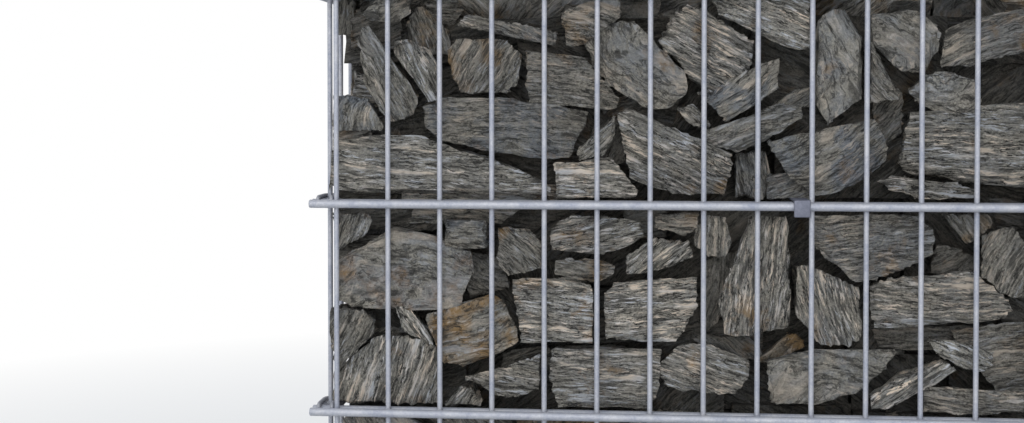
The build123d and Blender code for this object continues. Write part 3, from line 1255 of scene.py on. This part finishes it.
relief = 0.0
for height, strength in (
    (pattern["streaks"], 0.7),
    (pattern["speckle"], 0.3),
    (pattern["layers"], 1.3),
    (shaded_crevice, -0.5),
):
    relief = add(tree, "Math", {0: height, 1: strength, 2: relief}, operation="MULTIPLY_ADD")[0]
bump = add(tree, "Bump", {"Height": relief, "Strength": 1.0, "Distance": 0.0075})["Normal"]
stone_skin = add(tree, "BsdfPrincipled", {"Base Color": rock, "Roughness": 0.78, "Normal": bump,
                                          "Specular IOR Level": 0.35})["BSDF"]
add(tree, "OutputMaterial", {"Surface": stone_skin})
print(schist.name, "has", len(tree.nodes), "nodes")

# %% [markdown]
# Every piece is one material all over, so it needs a single material slot. A copied or
# joined mesh may bring slots along, and those are cleared first.

# %% Give the pieces their materials
finishes = (
    (mesh_pieces, mesh_steel),
    (strip_pieces, strip_steel),
    (clip_pieces, hairpin_steel),
    (stone_pieces, schist),
)
for pieces, material in finishes:
    for piece in pieces:
        piece.data.materials.clear()
        piece.data.materials.append(material)
    print(len(pieces), "pieces of", material.name)

# %% [markdown]
# The wall stands on a plain pale floor. It keeps the shadow round the wall and turns
# white further out, so that it meets the white background without an edge. Only what the
# camera and reflections see of it turns white. The light that it throws back stays even.

# %% Floor
shadow_reach = 1.3
white_reach = 3.4
floor_size = 60


def background_ray(tree):
    """One where a ray comes from the camera, a reflection or a clear body, else zero."""
    ray = add(tree, "LightPath")
    seen = add(tree, "Math", {0: ray["Is Camera Ray"], 1: ray["Is Glossy Ray"]},
               operation="MAXIMUM")[0]
    return add(tree, "Math", {0: seen, 1: ray["Is Transmission Ray"]}, operation="MAXIMUM")[0]


bpy.ops.object.select_all(action="DESELECT")
bpy.ops.mesh.primitive_plane_add(size=floor_size, location=(0, 0, 0))
floor = bpy.context.object
floor.name = "floor"
floor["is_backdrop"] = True

floor_paint, tree = new_material("pale_floor")
place = add(tree, "TexCoord")["Object"]
distance = add(tree, "VectorMath", {0: place}, operation="LENGTH")["Value"]
outside = add(tree, "MapRange", {"Value": distance, "From Min": shadow_reach,
                                 "From Max": white_reach})["Result"]
share = add(tree, "Math", {0: outside, 1: background_ray(tree)}, operation="MULTIPLY")[0]
paint = add(tree, "BsdfDiffuse", {"Color": colour("f0f0ee")})["BSDF"]
white = add(tree, "Emission", {"Color": (1, 1, 1, 1), "Strength": 1.0})["Emission"]
floor_skin = add(tree, "MixShader", {0: share, 1: paint, 2: white})["Shader"]
add(tree, "OutputMaterial", {"Surface": floor_skin})
floor.data.materials.append(floor_paint)
print("the floor is pale up to", shadow_reach, "m and white from", white_reach, "m")

# %% [markdown]
# The picture was taken in open shade, so the light is one broad soft source in front,
# weaker ones from the left and behind, and an even sky of a slightly blue white. Large
# lamps give the soft shadows between the stones. A sky picture could do this too, but
# lamps show plainly what lights what.


# %% Lamps and sky
def soft_light(name, power, size, place, aim):
    """A square lamp of some watts and metres at a place, which looks at a point."""
    lamp = bpy.data.lights.new(name, "AREA")
    lamp.energy = power
    lamp.size = size
    lit = bpy.data.objects.new(name, lamp)
    lit.location = place
    lit.rotation_euler = (Vector(aim) - Vector(place)).to_track_quat("-Z", "Y").to_euler()
    scene_objects.link(lit)


soft_light("sky_over_front", 68, 3.0, (-0.7, -3.0, 1.7), (-0.3, 0, 0.4))
soft_light("sky_from_left", 14, 2.0, (-3.0, -1.2, 1.8), (-0.6, 0, 0.5))
soft_light("sky_behind", 42, 2.4, (0.8, 2.6, 2.8), (0, 0, 0.5))

world = bpy.data.worlds.new("sky")
bpy.context.scene.world = world
world.use_nodes = True
tree = world.node_tree
tree.nodes.clear()
even_sky = add(tree, "Background", {"Color": colour("dfe7f2"), "Strength": 0.6})["Background"]
white = add(tree, "Background", {"Color": (1, 1, 1, 1), "Strength": 1.0})["Background"]
both = add(tree, "MixShader", {0: background_ray(tree), 1: even_sky, 2: white})["Shader"]
add(tree, "OutputWorld", {"Surface": both})
bpy.context.scene.view_settings.view_transform = "Standard"
print(len(bpy.data.lights), "lamps and an even sky")

# %% [markdown]
# Last, the box of the dressed wall is measured. The dressed wall has to fill the same box as
# the CAD model, so both boxes are gathered, and the triangles that were added are counted.

# %% Measure the size and count the triangles
visual_low, visual_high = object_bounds()
added = sum(triangles(piece) for pieces, material in finishes for piece in pieces)
print("triangles", added, "in", sum(len(pieces) for pieces, material in finishes), "pieces")
print("visual box", [round(v, 4) for v in visual_low], [round(v, 4) for v in visual_high])
sizes = {
    "cad": [list(cad_low), list(cad_high)],
    "visual": [list(visual_low), list(visual_high)],
}
